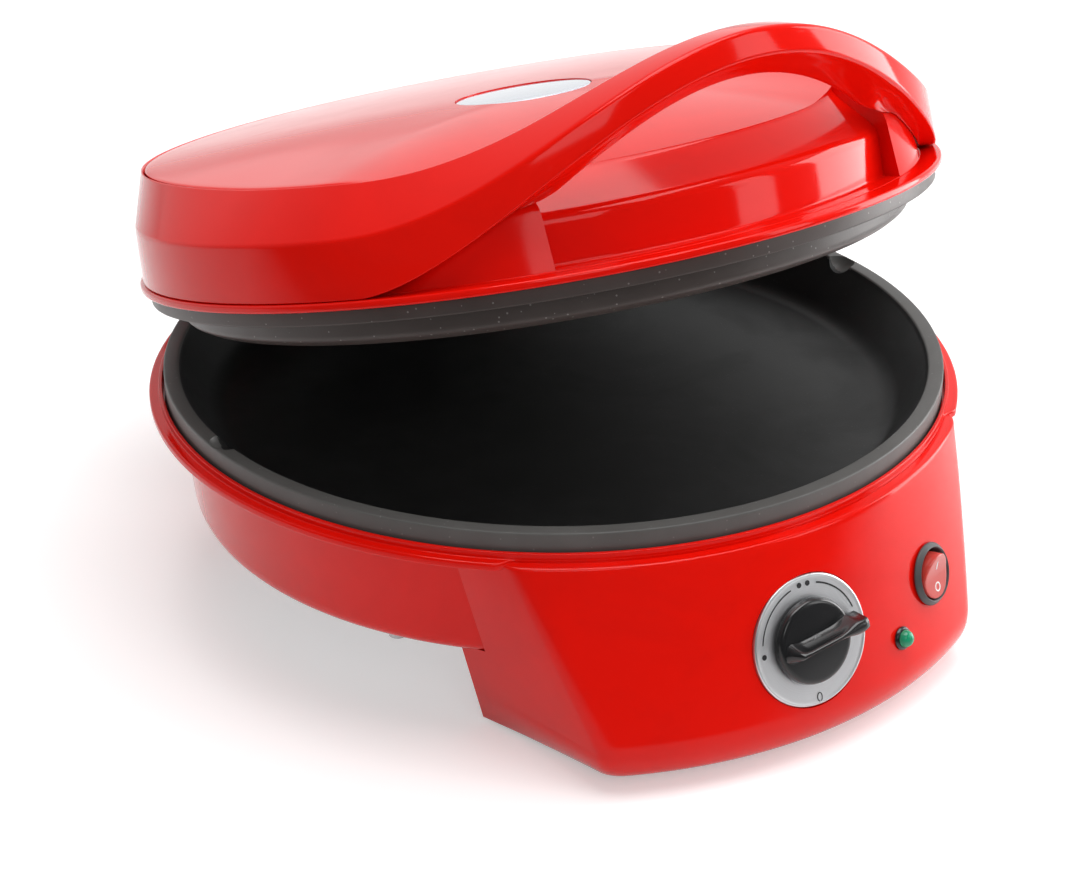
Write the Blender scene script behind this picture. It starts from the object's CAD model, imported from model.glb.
"""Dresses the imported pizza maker: smooth mouldings, finishes, studio light and camera.

Sizes are in millimetres and heights are counted from the flange plane, as in the part's source.
Each sub-assembly is a class; its surfaces are worked out as whole numpy arrays and then placed in
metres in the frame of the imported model.
"""

import logging
import math
from collections.abc import Callable
from dataclasses import dataclass
from enum import Enum

import bmesh
import bpy
import numpy as np
from mathutils import Matrix, Vector

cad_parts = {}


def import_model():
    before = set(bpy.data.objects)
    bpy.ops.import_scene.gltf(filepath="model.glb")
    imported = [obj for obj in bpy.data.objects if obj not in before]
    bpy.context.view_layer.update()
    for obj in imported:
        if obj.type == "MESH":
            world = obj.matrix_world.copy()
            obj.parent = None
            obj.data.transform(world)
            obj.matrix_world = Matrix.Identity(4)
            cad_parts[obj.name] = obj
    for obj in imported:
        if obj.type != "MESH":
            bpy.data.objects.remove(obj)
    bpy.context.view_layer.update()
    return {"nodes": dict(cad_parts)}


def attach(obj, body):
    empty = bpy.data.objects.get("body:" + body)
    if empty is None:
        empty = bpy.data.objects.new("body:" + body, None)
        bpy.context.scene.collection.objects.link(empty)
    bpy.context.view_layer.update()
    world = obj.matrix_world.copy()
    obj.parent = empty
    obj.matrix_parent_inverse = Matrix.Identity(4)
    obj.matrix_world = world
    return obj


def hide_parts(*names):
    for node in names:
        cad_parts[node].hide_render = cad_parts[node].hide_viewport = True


LOG = logging.getLogger("pizza_maker")
Array = np.ndarray
Number = float | Array
Piece = bpy.types.Object
Material = bpy.types.Material
Node = bpy.types.Node
Socket = bpy.types.NodeSocket
Colour = tuple[float, float, float]
Point = tuple[float, float, float]
Span = tuple[float, float]  # where a smooth step starts, and its length
Finishes = dict[str, Material]

SHARP = 32.0  # edges that bend by more than this many degrees stay sharp
WELD = 2e-6  # points closer than this, in metres, are one
NEAR_AXIS = 1.0  # a profile that starts and ends within this radius, in millimetres, is capped
TINY = 1e-9  # keeps a length of nothing from being divided by
FLIP = np.array([-1.0, 1.0])  # mirrors an x, y point left to right


class Body(Enum):
    """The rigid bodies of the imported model."""

    BASE = "base"
    LID = "lid"
    DIAL = "dial"
    SWITCH = "switch"


class Space(Enum):
    """The local frames in which the surfaces are worked out."""

    BASE = "base"
    LID = "lid"


# ---------------------------------------------------------------- shared sizes


@dataclass(frozen=True)
class Spot:
    """A place on the leaning panel: its height, and its angle round the axis in degrees."""

    z: float
    phi: float


@dataclass(frozen=True)
class Sizes:
    """Named sizes shared by the sub-assemblies, in millimetres and degrees.

    The pan's outer radius drives those of the flange, the plate and the lid, as in the part's source.
    """

    pan_r: float = 168.2
    pan_rim_w: float = 6.4
    pan_rim_z: float = 10.3
    pan_floor_z: float = -12.0
    flange_z: float = 93.5
    flange_w: float = 6.8
    flange_t: float = 3.5
    bowl_top_r: float = 163.0
    bowl_low_r: float = 157.5
    bowl_depth: float = 52.0
    wall: float = 2.6
    foot_h: float = 2.5
    plate_gap: float = 5.8
    plate_over: float = 0.2
    plate_step_h: float = 11.9
    plate_edge_h: float = 6.0
    lid_open: float = 16.5
    lid_over: float = 3.8
    lid_top_z: float = 71.0
    crease_z: float = 43.0
    shoulder_z: float = 62.0
    arch_rise: float = 64.0
    arch_half: float = 57.0
    recess_w: float = 168.0
    inlay_d: float = 58.0
    hinge_back: float = 5.5
    hinge_z: float = 6.0
    panel_lean: float = 16.0
    face_top_r: float = 175.2
    housing_w: float = 226.0
    housing_inset: float = 48.0
    dial: Spot = Spot(-43.0, -2.0)
    dial_d: float = 54.0
    knob_d: float = 35.5
    knob_h: float = 11.5
    knob_rest: float = 8.0
    switch: Spot = Spot(-42.0, 20.5)
    bezel_d: float = 26.0
    rocker_d: float = 19.0
    rocker_tilt: float = 10.0
    lamp: Spot = Spot(-58.5, 12.5)
    lamp_d: float = 9.7

    @property
    def floor_z(self) -> float:
        """Height of the housing's foot."""
        return self.foot_h - self.flange_z

    @property
    def pan_rim_in_r(self) -> float:
        """Inner radius of the pan's rim."""
        return self.pan_r - self.pan_rim_w

    @property
    def flange_r(self) -> float:
        """Outer radius of the flange."""
        return self.pan_r + self.flange_w

    @property
    def lip_r(self) -> float:
        """Inner radius of the raised lip round the pan."""
        return self.pan_r + 1.0

    @property
    def flange_front_r(self) -> float:
        """Radius at which the flange ends above the control housing."""
        return self.lip_r + 1.6

    @property
    def plate_low_r(self) -> float:
        """Radius of the upper plate's step, which dips into the pan."""
        return self.pan_rim_in_r - self.plate_gap

    @property
    def plate_edge_r(self) -> float:
        """Outer radius of the upper plate."""
        return self.pan_r + self.plate_over

    @property
    def lid_r(self) -> float:
        """Radius of the lid's rim bead."""
        return self.pan_r + self.lid_over

    @property
    def hinge_y(self) -> float:
        """Place of the hinge line behind the middle."""
        return self.flange_r + self.hinge_back

    @property
    def plate_seat_z(self) -> float:
        """Underside of the upper plate's edge."""
        return self.pan_rim_z + 0.3

    @property
    def plate_top_z(self) -> float:
        """Top of the upper plate's edge."""
        return self.plate_seat_z + self.plate_edge_h

    @property
    def bead_low_z(self) -> float:
        """Underside of the lid's rim bead."""
        return self.plate_top_z + 0.2

    @property
    def bead_top_z(self) -> float:
        """Top of the lid's rim bead."""
        return self.bead_low_z + 3.3


SIZE = Sizes()


# ---------------------------------------------------------------- points and outlines


def place(points: Array, space: Space = Space.BASE) -> Array:
    """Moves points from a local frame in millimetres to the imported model's frame in metres.

    A lid point is turned about the hinge line by the resting opening; a base point is only lifted.

    Args:
        points: any array whose last axis is x, y, z.
        space: the local frame of the points.

    Returns:
        The placed points, in metres.
    """
    out = np.array(points, float)
    if space is Space.LID:
        c, s = math.cos(math.radians(SIZE.lid_open)), math.sin(math.radians(SIZE.lid_open))
        y, z = out[..., 1] - SIZE.hinge_y, out[..., 2] - SIZE.hinge_z
        out[..., 1] = SIZE.hinge_y + y * c + z * s
        out[..., 2] = SIZE.hinge_z - y * s + z * c
    out[..., 2] += SIZE.flange_z
    return out / 1000.0


def grow(a: Array, span: Span) -> Array:
    """Smooth step from 0 to 1 over the span: 3 t squared less 2 t cubed, with t held between 0 and 1."""
    t = np.clip((a - span[0]) / span[1], 0.0, 1.0)
    return t * t * (3 - 2 * t)


def fade(a: Array, span: Span) -> Array:
    """Smooth step from 1 to 0 over the span."""
    return 1 - grow(a, span)


def mix(a: Number, b: Number, t: Number) -> Number:
    """Straight blend from a at t 0 to b at t 1."""
    return a + (b - a) * t


def stack(*columns: Number) -> Array:
    """Joins equal-shaped or scalar columns into one array along a new last axis."""
    return np.stack(np.broadcast_arrays(*columns), -1).astype(float)


def sections(rows: list[tuple[Number, Number]], count: int) -> Array:
    """(count, k, 2) sections from k pairs of radius and height, each a number or one per section."""
    flat = [np.broadcast_to(value, count) for row in rows for value in row]
    return np.stack(flat, -1).astype(float).reshape(count, len(rows), 2)


def fillet(corners: Array, size: Array, steps: int = 4, closed: bool = True) -> Array:
    """Rounds a polygon's corners with quadratic arcs.

    Each corner gives way to a quadratic curve that starts and ends the given distance away on its
    two edges, at most 45% of an edge, with the corner as its middle control point.

    Args:
        corners: (..., k, 2) corner points in order.
        size: (k,) or (..., k) distances, in the corners' unit.
        steps: segments in each arc.
        closed: whether the last corner joins the first; if not, the end corners stay.

    Returns:
        (..., k * (steps + 1), 2) points.
    """
    size = np.broadcast_to(size, corners.shape[:-1]).copy()
    if not closed:
        size[..., 0] = size[..., -1] = 0.0
    t = np.linspace(0, 1, steps + 1)[:, None]
    arcs = corners[..., None, :] * (2 * t * (1 - t))
    for shift, weight in ((1, (1 - t) ** 2), (-1, t**2)):
        edge = np.roll(corners, shift, -2) - corners
        length = np.linalg.norm(edge, axis=-1, keepdims=True)
        end = corners + edge * np.minimum(size[..., None] / np.maximum(length, TINY), 0.45)
        arcs = arcs + end[..., None, :] * weight
    return arcs.reshape(*corners.shape[:-2], -1, 2)


def around(section: Array, angles: Array) -> Array:
    """Turns (radius, height) sections round the axis: x = r sin u, y = -r cos u, z = height.

    Args:
        section: (k, 2), the same at every angle, or (n, k, 2), one for each angle.
        angles: (n,) angles from the front, in radians, counter-clockwise from above.

    Returns:
        (n, k, 3) points.
    """
    section = np.broadcast_to(section, (len(angles), *section.shape[-2:]))
    u = angles[:, None]
    return stack(section[..., 0] * np.sin(u), -section[..., 0] * np.cos(u), section[..., 1])


def turn(count: int) -> Array:
    """Equal angles of a full turn, from the front, in radians."""
    return np.arange(count) * (2 * np.pi / count)


def circle(x: float, y: float, across: float, up: float, count: int) -> Array:
    """A closed oval line: x + across cos a, y + up sin a, its last point on its first."""
    a = np.radians(np.linspace(0, 360, count))
    return stack(x + across * np.cos(a), y + up * np.sin(a))


def ribbon(line: Array, width: Number) -> Array:
    """Four corners across a strip at each point of its middle line.

    A corner stands half the width to the side, square to the line's local direction.

    Args:
        line: (n, 2) points of the middle line.
        width: the strip's width, one number or one per point.

    Returns:
        (n, 4, 2) points: left and right below, then right and left above.
    """
    ahead = np.gradient(line, axis=0)
    ahead /= np.maximum(np.linalg.norm(ahead, axis=1, keepdims=True), TINY)
    side = stack(-ahead[:, 1], ahead[:, 0]) * np.reshape(width, (-1, 1)) / 2
    left, right = line + side, line - side
    return np.stack([left, right, right, left], 1)


def spun(points: Array, degrees: float, first: int, second: int) -> Array:
    """Turns points in the plane of two of their axes.

    Args:
        points: any array whose last axis is x, y, z.
        degrees: the turn, from the first axis towards the second.
        first: number of the first axis.
        second: number of the second axis.

    Returns:
        The turned points.
    """
    c, s = math.cos(math.radians(degrees)), math.sin(math.radians(degrees))
    out = np.array(points, float)
    out[..., first] = points[..., first] * c - points[..., second] * s
    out[..., second] = points[..., first] * s + points[..., second] * c
    return out


# ---------------------------------------------------------------- making meshes


def shade(mesh: bpy.types.Mesh, sharp: float = SHARP) -> None:
    """Smooths a mesh's shading up to its sharp edges."""
    mesh.shade_smooth()
    mesh.set_sharp_from_angle(angle=math.radians(sharp))


def make_mesh(name: str, points: Array, faces: list[list[int]], sharp: float = SHARP) -> Piece:
    """Makes a smooth-shaded object from points in metres, its faces turned outwards.

    Args:
        name: the object's name.
        points: (..., 3) points.
        faces: corner indices of each face.
        sharp: edges that bend by more than this many degrees stay sharp.

    Returns:
        The new object, at the origin.
    """
    mesh = bpy.data.meshes.new(name)
    mesh.from_pydata(np.asarray(points, float).reshape(-1, 3).tolist(), [], faces)
    work = bmesh.new()
    work.from_mesh(mesh)
    bmesh.ops.remove_doubles(work, verts=work.verts, dist=WELD)
    bmesh.ops.recalc_face_normals(work, faces=work.faces)
    work.to_mesh(mesh)
    work.free()
    shade(mesh, sharp)
    made = bpy.data.objects.new(name, mesh)
    bpy.context.scene.collection.objects.link(made)
    return made


def grid_faces(rows: int, cols: int, wrap_rows: bool) -> list[list[int]]:
    """Quads of a grid numbered row by row, whose rows are closed rings.

    Args:
        rows: number of rows.
        cols: number of points in a row.
        wrap_rows: whether the last row joins the first.

    Returns:
        The quads' corner indices.
    """
    r, c = np.meshgrid(np.arange(rows if wrap_rows else rows - 1), np.arange(cols), indexing="ij")
    r1, c1 = (r + 1) % rows, (c + 1) % cols
    quads = np.stack([r * cols + c, r * cols + c1, r1 * cols + c1, r1 * cols + c], -1)
    return quads.reshape(-1, 4).tolist()


def loop_mesh(name: str, points: Array) -> Piece:
    """A closed ring: (n, k, 3) sections, joined end to end round the ring and round the section."""
    return make_mesh(name, points, grid_faces(*points.shape[:2], True))


def capped_mesh(name: str, points: Array, sharp: float = SHARP) -> Piece:
    """A closed skin over rings, with a fan to the mean of the first and of the last ring.

    Args:
        name: the object's name.
        points: (m, n, 3) points of the closed rings, in metres.
        sharp: edges that bend by more than this many degrees stay sharp.

    Returns:
        The new object.
    """
    rows, cols = points.shape[:2]
    faces = grid_faces(rows, cols, False)
    ring = np.arange(cols)
    first, last, base = rows * cols, rows * cols + 1, (rows - 1) * cols
    faces += np.stack([np.full(cols, first), (ring + 1) % cols, ring], -1).tolist()
    faces += np.stack([np.full(cols, last), base + ring, base + (ring + 1) % cols], -1).tolist()
    flat = np.concatenate([points.reshape(-1, 3), points[0].mean(0)[None], points[-1].mean(0)[None]])
    return make_mesh(name, flat, faces, sharp)


def lathe(name: str, profile: Array, put: Callable[[Array], Array], count: int) -> Piece:
    """A turned piece: the profile carried round the axis, then put in its place.

    A profile that starts and ends near the axis is capped there; any other is joined end to end.

    Args:
        name: the object's name.
        profile: (k, 2) radius and height.
        put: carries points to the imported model's frame.
        count: segments of a full turn.

    Returns:
        The new object.
    """
    points = put(around(profile, turn(count)))
    if max(profile[0, 0], profile[-1, 0]) < NEAR_AXIS:
        return capped_mesh(name, points.transpose(1, 0, 2))
    return loop_mesh(name, points)


def turned(name: str, profile: Array, space: Space, count: int = 256) -> Piece:
    """A turned piece about the axis of the base or the lid."""
    return lathe(name, profile, lambda points: place(points, space), count)


def lid_turned(name: str, profile: Array, shift_y: float, count: int = 160) -> Piece:
    """A turned, capped piece on the lid, its axis moved along y."""
    return lathe(name, profile, lambda p: place(p + np.array([0, shift_y, 0]), Space.LID), count)


def panel_points(local: Array, spot: Spot) -> Array:
    """Carries points from a frame on the panel's face to the base frame.

    The frame's x runs along the panel, its y up the lean and its z out of the face; it is leaned
    back, set on the face's cone at the spot's height and turned by its angle round the axis.

    Args:
        local: any array whose last axis is x, y, z.
        spot: where the frame stands on the panel.

    Returns:
        The points in the base frame, in millimetres.
    """
    lean = math.radians(SIZE.panel_lean)
    x, y, w = local[..., 0], local[..., 1], local[..., 2]
    out = y * math.sin(lean) - w * math.cos(lean) - (SIZE.face_top_r - spot.z * math.tan(lean))
    up = y * math.cos(lean) + w * math.sin(lean) + spot.z
    return spun(stack(x, out, up), spot.phi, 0, 1)


def panel_turned(name: str, profile: Array, spot: Spot, count: int = 128) -> Piece:
    """A turned piece on the panel: its profile's height stands out of the face."""
    return lathe(name, profile, lambda points: place(panel_points(points, spot)), count)


def panel_disc(name: str, spot: Spot, radius: float, low: float, high: float = 12.0) -> Piece:
    """A plain closed cylinder square to the panel's face."""
    profile = np.array([[0.0, low], [radius, low], [radius, high], [0.0, high]])
    return panel_turned(name, profile, spot, 96)


def cut(piece: Piece, *tools: Piece) -> None:
    """Takes the tools' volumes out of the piece and removes the tools.

    Args:
        piece: what is cut.
        *tools: closed objects.
    """
    for tool in tools:
        step = piece.modifiers.new("cut", "BOOLEAN")
        step.operation, step.solver, step.object = "DIFFERENCE", "EXACT", tool
        graph = bpy.context.evaluated_depsgraph_get()
        fresh = bpy.data.meshes.new_from_object(piece.evaluated_get(graph))
        piece.modifiers.clear()
        spent = [piece.data, tool.data]
        piece.data = fresh
        bpy.data.objects.remove(tool)
        for mesh in spent:
            bpy.data.meshes.remove(mesh)
    shade(piece.data)


# ---------------------------------------------------------------- node helpers


class Nodes:
    """A short hand for building a node tree."""

    def __init__(self, tree: bpy.types.NodeTree) -> None:
        """Keeps the tree that the calls add to."""
        self.tree = tree

    def fill(self, node: Node, inputs: dict[str | int, object]) -> None:
        """Sets a node's inputs, and links those given as a socket.

        Args:
            node: the node.
            inputs: socket name or number to a value or to another node's output socket.
        """
        for key, value in inputs.items():
            if isinstance(value, Socket):
                self.tree.links.new(value, node.inputs[key])
            else:
                node.inputs[key].default_value = value

    def add(self, kind: str, inputs: dict[str | int, object] | None = None, **settings: object) -> Node:
        """Adds a node, sets its attributes, and links or sets its inputs.

        Args:
            kind: the node's type name, without a leading "ShaderNode".
            inputs: socket name or number to a value or to another node's output socket.
            **settings: attributes of the node.

        Returns:
            The new node.
        """
        node = self.tree.nodes.new(kind if kind.startswith("Node") else "ShaderNode" + kind)
        for key, value in settings.items():
            setattr(node, key, value)
        self.fill(node, inputs or {})
        return node

    def math(self, operation: str, a: object, b: object) -> Socket:
        """One math node on two values or sockets."""
        return self.add("Math", {0: a, 1: b}, operation=operation).outputs[0]

    def noise(self, vector: Socket, scale: object, detail: float, **more: float) -> Socket:
        """A cloudy pattern.

        Args:
            vector: its coordinates.
            scale: its fineness, a value or a socket.
            detail: its octaves.
            **more: further inputs by their lower-case names.

        Returns:
            The pattern's value.
        """
        inputs = {"Vector": vector, "Scale": scale, "Detail": detail}
        inputs.update({key.capitalize(): value for key, value in more.items()})
        return self.add("TexNoise", inputs).outputs["Fac"]

    def ramp(self, value: Socket, low: float, high: float, to: tuple[float, float] = (0.0, 1.0)) -> Socket:
        """Maps low..high on to the given span, held at its ends."""
        spans = {"From Min": low, "From Max": high, "To Min": to[0], "To Max": to[1]}
        return self.add("MapRange", {"Value": value, **spans}).outputs[0]

    def blend(self, mask: Socket, a: Socket | Colour, b: Socket | Colour) -> Socket:
        """Blends two colours.

        Args:
            mask: 0 gives the first colour and 1 the second.
            a: the first colour.
            b: the second colour.

        Returns:
            The blended colour.
        """
        node = self.add("Mix", data_type="RGBA")
        sockets = {socket.name: socket for socket in node.inputs if socket.enabled}
        self.tree.links.new(mask, sockets["Factor"])
        for socket, value in ((sockets["A"], a), (sockets["B"], b)):
            if isinstance(value, Socket):
                self.tree.links.new(value, socket)
            else:
                socket.default_value = (*value, 1.0)
        return next(socket for socket in node.outputs if socket.enabled)

    def towards_camera(self, vector: Socket) -> Socket:
        """Dot product of a vector with the level way from the object to the camera."""
        way = self.add("VectorMath", {0: vector, 1: (-0.5, -0.86, 0.0)}, operation="DOT_PRODUCT")
        return way.outputs["Value"]

    def shown(self, path: Node, mirrored: Socket) -> Socket:
        """Mask of the rays that show a white surface: camera, transmission and the given glossy share."""
        direct = self.math("MAXIMUM", path.outputs["Is Camera Ray"], path.outputs["Is Transmission Ray"])
        return self.math("MAXIMUM", direct, mirrored)


def start_group(name: str, inputs: dict[str, float], outputs: tuple[str, ...]) -> tuple[Nodes, Node, Node]:
    """Starts a shader node group that reads a vector.

    Args:
        name: the group's name.
        inputs: names and default values of its float inputs.
        outputs: names of its float outputs.

    Returns:
        The group's tree, its input node and its output node.
    """
    tree = bpy.data.node_groups.new(name, "ShaderNodeTree")
    tree.interface.new_socket("Vector", in_out="INPUT", socket_type="NodeSocketVector")
    for key, value in inputs.items():
        socket = tree.interface.new_socket(key, in_out="INPUT", socket_type="NodeSocketFloat")
        socket.default_value = value
    for key in outputs:
        tree.interface.new_socket(key, in_out="OUTPUT", socket_type="NodeSocketFloat")
    kit = Nodes(tree)
    return kit, kit.add("NodeGroupInput"), kit.add("NodeGroupOutput")


def moulded_skin() -> bpy.types.NodeTree:
    """Makes the group for the fine unevenness of a moulded or cast surface.

    Height is a broad slow wave with a fine grain on it. Smudge is a cloudy mask for handling marks,
    and Scratch a sparse mask of hair lines.

    Returns:
        The group's tree.
    """
    inputs = {"Wave": 40.0, "Grain": 900.0, "Grain Share": 0.3}
    kit, into, out = start_group("moulded_skin", inputs, ("Height", "Smudge", "Scratch"))
    vector = into.outputs["Vector"]
    wave = kit.noise(vector, into.outputs["Wave"], 1.0)
    grain = kit.noise(vector, into.outputs["Grain"], 2.0)
    fine = kit.math("MULTIPLY", grain, into.outputs["Grain Share"])
    cloud = kit.noise(vector, 14.0, 5.0, roughness=0.62, distortion=0.6)
    drawn_out = {"Vector": vector, "Rotation": (0.3, 0.2, 0.9), "Scale": (26.0, 900.0, 300.0)}
    hairs = kit.noise(kit.add("Mapping", drawn_out).outputs[0], 1.0, 1.0)
    kit.fill(out, {
        "Height": kit.math("ADD", wave, fine),
        "Smudge": kit.ramp(cloud, 0.45, 0.72),
        "Scratch": kit.ramp(hairs, 0.7, 0.78),
    })
    return kit.tree


def coating_fleck() -> bpy.types.NodeTree:
    """Makes the group for the flecks of a non-stick coating.

    Fleck marks the middle of sparse random cells, and Mottle is cloudy.

    Returns:
        The group's tree.
    """
    inputs = {"Cells": 420.0, "Size": 0.16, "Share": 0.35}
    kit, into, out = start_group("coating_fleck", inputs, ("Fleck", "Mottle"))
    vector = into.outputs["Vector"]
    cell = kit.add("TexVoronoi", {"Vector": vector, "Scale": into.outputs["Cells"]})
    near = kit.math("LESS_THAN", cell.outputs["Distance"], into.outputs["Size"])
    pick = kit.add("SeparateColor", {"Color": cell.outputs["Color"]})
    some = kit.math("LESS_THAN", pick.outputs[0], into.outputs["Share"])
    kit.fill(out, {"Fleck": kit.math("MULTIPLY", near, some), "Mottle": kit.noise(vector, 60.0, 4.0)})
    return kit.tree


def darker(colour: Colour, share: float) -> Colour:
    """A colour times a share."""
    return tuple(part * share for part in colour)


class Dressing(Nodes):
    """A new material with its Principled shader, its Object coordinates and its moulded skin."""

    def __init__(self, name: str, **skin: float) -> None:
        """Starts the material.

        Args:
            name: the material's name.
            **skin: values of the skin's inputs, with an underscore for a space.
        """
        self.material = bpy.data.materials.new(name)
        self.material.use_nodes = True
        super().__init__(self.material.node_tree)
        self.shader = self.tree.nodes["Principled BSDF"]
        self.coords = self.add("TexCoord").outputs["Object"]
        values = {key.replace("_", " ").title(): value for key, value in skin.items()}
        self.skin = self.effect(moulded_skin, **values).outputs

    def effect(self, maker: Callable[[], bpy.types.NodeTree], **values: float) -> Node:
        """Adds a shared group, made once, on Object coordinates.

        Args:
            maker: the function that makes the group and has its name.
            **values: values of its inputs.

        Returns:
            The group's node.
        """
        tree = bpy.data.node_groups.get(maker.__name__) or maker()
        return self.add("Group", {"Vector": self.coords, **values}, node_tree=tree)

    def bump(self, height: Socket, distance: float, strength: float = 1.0) -> Socket:
        """A normal that follows a height, with the distance in metres."""
        return self.add("Bump", {"Height": height, "Strength": strength, "Distance": distance}).outputs[0]

    def finish(self, inputs: dict[str, object]) -> Material:
        """Fills the shader's inputs and gives the material."""
        self.fill(self.shader, inputs)
        return self.material


# ---------------------------------------------------------------- finishes


@dataclass(frozen=True)
class MouldedPlastic:
    """Injection-moulded plastic, glossy or matt, with flow waves, grain, smudges and hair scratches.

    Attributes:
        name: the material's name.
        colour: base colour.
        roughness: roughness of the clean surface.
        smudge: roughness that handling marks add.
        wave_height: height of the surface waves and grain, in metres.
        grain_share: share of fine grain in that height.
        coat: clear gloss over the colour.
        specular: strength of the surface's own reflection.
    """

    name: str
    colour: Colour
    roughness: float
    smudge: float
    wave_height: float
    grain_share: float
    coat: float = 0.0
    specular: float = 0.5

    def build(self) -> Material:
        """Builds the material.

        Returns:
            The material.
        """
        kit = Dressing(self.name, grain_share=self.grain_share)
        marks = kit.math("MULTIPLY", kit.skin["Smudge"], self.smudge)
        lines = kit.math("MULTIPLY", kit.skin["Scratch"], self.smudge * 2)
        return kit.finish({
            "Base Color": kit.blend(kit.skin["Smudge"], self.colour, darker(self.colour, 0.9)),
            "Roughness": kit.math("ADD", kit.math("ADD", marks, lines), self.roughness),
            "Normal": kit.bump(kit.skin["Height"], self.wave_height),
            "Coat Weight": self.coat,
            "Coat Roughness": 0.04,
            "Specular IOR Level": self.specular,
        })


@dataclass(frozen=True)
class NonStick:
    """Dark cast metal under a flecked non-stick coating.

    Attributes:
        name: the material's name.
        colour: the coating's colour.
        fleck_colour: colour of the pale flecks.
        roughness: roughness of the coating.
        flecks: share of the cells that hold a fleck.
    """

    name: str
    colour: Colour
    fleck_colour: Colour
    roughness: float
    flecks: float

    def build(self) -> Material:
        """Builds the material.

        Returns:
            The material.
        """
        kit = Dressing(self.name, grain=1400.0, grain_share=1.2)
        fleck = kit.effect(coating_fleck, Share=self.flecks)
        pale = tuple(min(1.0, part * 1.25 + 0.01) for part in self.colour)
        tone = kit.blend(fleck.outputs["Mottle"], self.colour, pale)
        marks = kit.math("MULTIPLY", kit.skin["Smudge"], 0.12)
        return kit.finish({
            "Base Color": kit.blend(fleck.outputs["Fleck"], tone, self.fleck_colour),
            "Roughness": kit.math("ADD", marks, self.roughness),
            "Normal": kit.bump(kit.skin["Height"], 2.5e-5),
            "Specular IOR Level": 0.5,
        })


@dataclass(frozen=True)
class Metal:
    """Bare metal with drawn or turned lines.

    Attributes:
        name: the material's name.
        colour: the metal's colour.
        roughness: mean roughness.
        centre: point that the turned lines circle, in metres; None for lines drawn along x.
        axis: rotation of the turned face, in radians about x, then about z.
        lines: lines per metre.
        tarnish: darkening by heat and handling, 0 to 1.
    """

    name: str
    colour: Colour
    roughness: float
    centre: Point | None = None
    axis: tuple[float, float] = (0.0, 0.0)
    lines: float = 2200.0
    tarnish: float = 0.15

    def line_space(self, kit: Dressing) -> Socket:
        """The coordinates of the lines: squeezed across x, or the distance from the turned face's axis.

        Args:
            kit: the material's tree.

        Returns:
            The coordinates.
        """
        if self.centre is None:
            scale = (12.0, self.lines, self.lines)
            return kit.add("Mapping", {"Vector": kit.coords, "Scale": scale}).outputs[0]
        spot = kit.add("VectorMath", {0: kit.coords, 1: self.centre}, operation="SUBTRACT").outputs[0]
        for axis, angle in (((0, 0, 1), -self.axis[1]), ((1, 0, 0), -self.axis[0])):
            spot = kit.add("VectorRotate", {"Vector": spot, "Axis": axis, "Angle": angle}).outputs[0]
        parts = kit.add("SeparateXYZ", {0: spot})
        across = kit.add("CombineXYZ", {0: parts.outputs[0], 1: parts.outputs[1]}).outputs[0]
        length = kit.add("VectorMath", {0: across}, operation="LENGTH").outputs["Value"]
        return kit.add("CombineXYZ", {0: kit.math("MULTIPLY", length, self.lines)}).outputs[0]

    def build(self) -> Material:
        """Builds the material.

        Returns:
            The material.
        """
        kit = Dressing(self.name)
        line = kit.noise(self.line_space(kit), 1.0, 3.0, roughness=0.6)
        smudge = kit.skin["Smudge"]
        tone = kit.blend(smudge, self.colour, darker(self.colour, 1 - self.tarnish))
        rough = kit.ramp(line, 0.3, 0.7, (self.roughness - 0.06, self.roughness + 0.1))
        return kit.finish({
            "Base Color": kit.blend(kit.ramp(line, 0.3, 0.7, (0.0, 0.35)), tone, darker(self.colour, 0.72)),
            "Roughness": kit.math("ADD", rough, kit.math("MULTIPLY", smudge, 0.08)),
            "Normal": kit.bump(line, 1.5e-5, 0.5),
            "Metallic": 1.0,
        })


@dataclass(frozen=True)
class TintedLens:
    """Clear tinted plastic of a lamp lens or a lit rocker.

    Attributes:
        name: the material's name.
        colour: the tint.
        transmission: share of the light that passes.
        roughness: roughness of the clean surface.
    """

    name: str
    colour: Colour
    transmission: float
    roughness: float

    def build(self) -> Material:
        """Builds the material.

        Returns:
            The material.
        """
        kit = Dressing(self.name)
        lines = kit.math("MULTIPLY", kit.skin["Scratch"], 0.1)
        return kit.finish({
            "Base Color": kit.blend(kit.skin["Smudge"], self.colour, darker(self.colour, 0.85)),
            "Roughness": kit.math("ADD", lines, self.roughness),
            "Transmission Weight": self.transmission,
            "IOR": 1.49,
        })


# ---------------------------------------------------------------- sub-assemblies


@dataclass
class Assembly:
    """What every sub-assembly shares: its finishes, and how each piece is handed to the frame."""

    finish: Finishes
    body: Body = Body.BASE

    def keep(self, piece: Piece, finish: str, slot: str, *nodes: str, body: Body | None = None) -> None:
        """Dresses a piece and hands it to the frame.

        Args:
            piece: the finished piece.
            finish: the plain name of its finish.
            slot: the record's material slot.
            *nodes: the CAD nodes that it stands for.
            body: the body that it rides, if not the sub-assembly's own.
        """
        piece.data.materials.clear()
        piece.data.materials.append(self.finish[finish])
        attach(piece, (body or self.body).value)
        if nodes:
            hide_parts(*nodes)
        LOG.info("%s: %d faces", piece.name, len(piece.data.polygons))


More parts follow.
